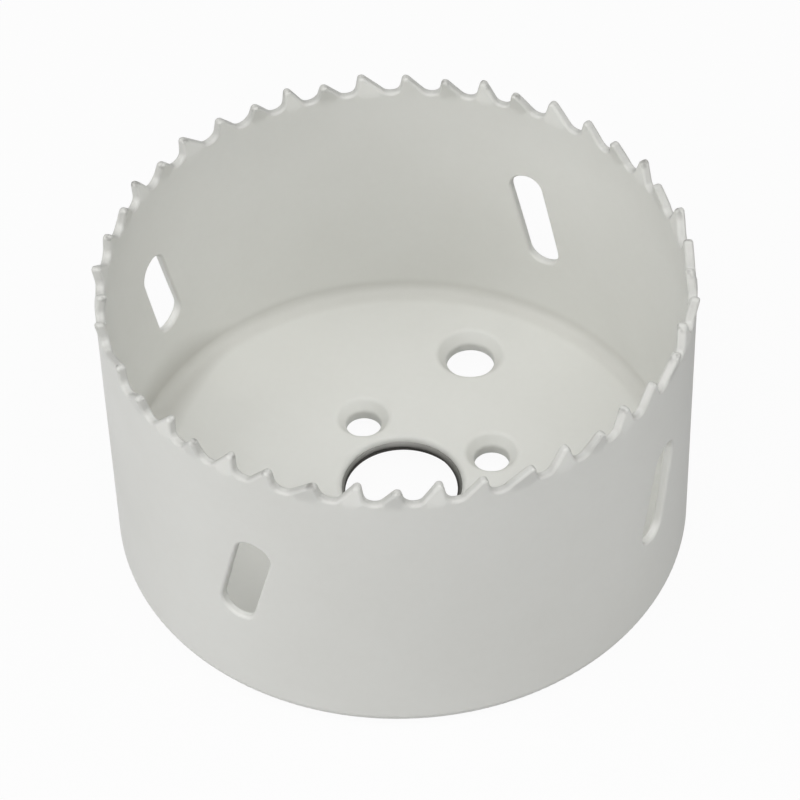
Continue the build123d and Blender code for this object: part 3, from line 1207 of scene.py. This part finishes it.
class HOLESAW_OT_stage(bpy.types.Operator):
    """Sets up the camera, the pale floor, the soft lamps and the sky"""

    bl_idname = "holesaw.stage"
    bl_label = "Stage"

    def execute(self, context):
        scene, stage = context.scene, context.scene.holesaw_stage
        a, e = stage.azimuth, stage.elevation
        back = Vector((math.sin(a) * math.cos(e), -math.cos(a) * math.cos(e), math.sin(e)))
        ahead = -back
        right = Vector((math.cos(a), math.sin(a), 0))
        down = ahead.cross(right)
        turn = Matrix((right, down, ahead))
        panned = Matrix.Rotation(-stage.pan, 3, "Y")
        tilted = Matrix.Rotation(stage.tilt, 3, "X")
        rolled = Matrix.Rotation(stage.roll, 3, "Z")
        right, down, ahead = rolled @ tilted @ panned @ turn
        lens = bpy.data.cameras.new("camera")
        lens.sensor_width = 36.0
        lens.lens = stage.lens
        lens.clip_start, lens.clip_end = 0.01, 50.0
        camera = bpy.data.objects.new("camera", lens)
        look = Matrix((right, -down, -ahead)).transposed().to_4x4()
        camera.matrix_world = Matrix.Translation(back * stage.distance) @ look
        scene.collection.objects.link(camera)
        scene.camera = camera

        reach, low = 3.0, -0.2 * MM
        corners = [(-reach, -reach, low), (reach, -reach, low), (reach, reach, low), (-reach, reach, low)]
        floor = mesh_piece("floor", corners, [(0, 1, 2, 3)])
        floor.data.materials.append(floor_material((math.cos(a), math.sin(a), 0)))

        for name, turn, rise, power in (
            ("left_lamp", -75, 52, stage.left_power),
            ("low_left_lamp", -65, 25, stage.low_left_power),
            ("front_lamp", 0, 64, stage.front_power),
            ("low_front_lamp", 0, 30, stage.low_front_power),
            ("right_lamp", 75, 52, stage.right_power),
            ("low_right_lamp", 65, 25, stage.low_right_power),
            ("back_lamp", 180, 58, stage.back_power),
        ):
            add_lamp(name, stage, math.radians(turn), math.radians(rise), power)

        world = bpy.data.worlds.new("studio")
        scene.world = world
        world.use_nodes = True
        nodes = Nodes(world.node_tree)
        sky = world.node_tree.nodes["Background"]
        ray = nodes.add("ShaderNodeLightPath").outputs
        seen = nodes.math("MINIMUM", nodes.plus(ray["Is Camera Ray"], ray["Is Transmission Ray"]), 1.0)
        extra = nodes.times(seen, 1.0 - stage.sky_strength)
        nodes.put(sky.inputs["Strength"], nodes.plus(extra, stage.sky_strength))
        sky.inputs["Color"].default_value = (1, 1, 1, 1)
        scene.view_settings.view_transform = "Standard"
        return {"FINISHED"}


# Panel and registration

class HOLESAW_PT_panel(bpy.types.Panel):
    """Buttons for the pieces of the saw and its stage"""

    bl_idname = "HOLESAW_PT_panel"
    bl_label = "Hole Saw"
    bl_space_type = "VIEW_3D"
    bl_region_type = "UI"
    bl_category = "Hole Saw"

    def draw(self, context):
        for operator in OPERATORS:
            self.layout.operator(operator.bl_idname)


SETTINGS = {
    "holesaw_wall": WallSettings,
    "holesaw_teeth": ToothSettings,
    "holesaw_slots": SlotSettings,
    "holesaw_plate": PlateSettings,
    "holesaw_thread": ThreadSettings,
    "holesaw_paint": PaintSettings,
    "holesaw_stage": StageSettings,
}
OPERATORS = (HOLESAW_OT_wall, HOLESAW_OT_plate, HOLESAW_OT_thread, HOLESAW_OT_stage)


def register():
    for group in SETTINGS.values():
        bpy.utils.register_class(group)
    for operator in OPERATORS:
        bpy.utils.register_class(operator)
    bpy.utils.register_class(HOLESAW_PT_panel)
    for name, group in SETTINGS.items():
        setattr(bpy.types.Scene, name, bpy.props.PointerProperty(type=group))


def unregister():
    for name in SETTINGS:
        delattr(bpy.types.Scene, name)
    bpy.utils.unregister_class(HOLESAW_PT_panel)
    for operator in reversed(OPERATORS):
        bpy.utils.unregister_class(operator)
    for group in reversed(list(SETTINGS.values())):
        bpy.utils.unregister_class(group)


def main():
    register()
    bpy.ops.holesaw.wall()
    bpy.ops.holesaw.plate()
    bpy.ops.holesaw.thread()
    bpy.ops.holesaw.stage()
    bpy.context.view_layer.update()


if __name__ == "__main__":
    main()
